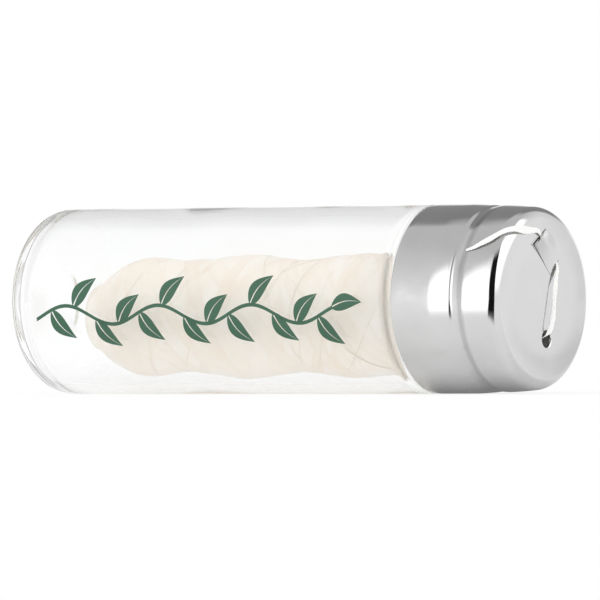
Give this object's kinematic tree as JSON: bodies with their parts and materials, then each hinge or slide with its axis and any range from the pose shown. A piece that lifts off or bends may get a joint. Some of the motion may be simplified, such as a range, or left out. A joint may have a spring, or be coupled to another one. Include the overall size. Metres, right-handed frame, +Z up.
{
  "type": "dental floss dispenser",
  "caption": "Refillable glass vial that holds a spool of silk dental floss, with a polished steel screw cap that has a floss hole and a lanced cutting tongue.",
  "frame": {"origin": "on the surface that the vial lies on, under the middle of its length", "axes": "+X along the vial's axis towards the cap, +Z up, the vial lies on its side"},
  "size_m": [0.0696, 0.022, 0.022],
  "materials": {
    "glass": "clear, polished",
    "polished_steel": "pressed stainless steel, mirror polished",
    "insert_plastic": "moulded natural polypropylene",
    "seal_foam": "closed-cell foam",
    "silk_floss": "wound silk, soft",
    "waxed_strand": "flat waxed silk"
  },
  "bodies": {
    "vial": {"glass_vial": "glass"},
    "seal": {"sealing_ring": "seal_foam"},
    "cap": {"cap_shell": "polished_steel", "cap_insert": "insert_plastic", "floss_strand": "waxed_strand"},
    "spool": {"floss_core": "silk_floss", "floss_winding": "silk_floss"}
  },
  "joints": [
    {"name": "cap_lift", "type": "slide", "parent": "vial", "child": "seal", "axis": [1, 0, 0], "range_m": [0, 0.006]},
    {"name": "cap_turn", "type": "hinge", "parent": "seal", "child": "cap", "pos_m": [0, 0, 0.011], "axis": [1, 0, 0], "range_deg": [0, 720]},
    {"name": "spool_slide", "type": "slide", "parent": "vial", "child": "spool", "axis": [1, 0, 0], "range_m": [-0.005, 0]}
  ],
  "couplings": [
    {"joint": "cap_turn", "follows": "cap_lift", "rad_per_m": 2094.4}
  ]
}
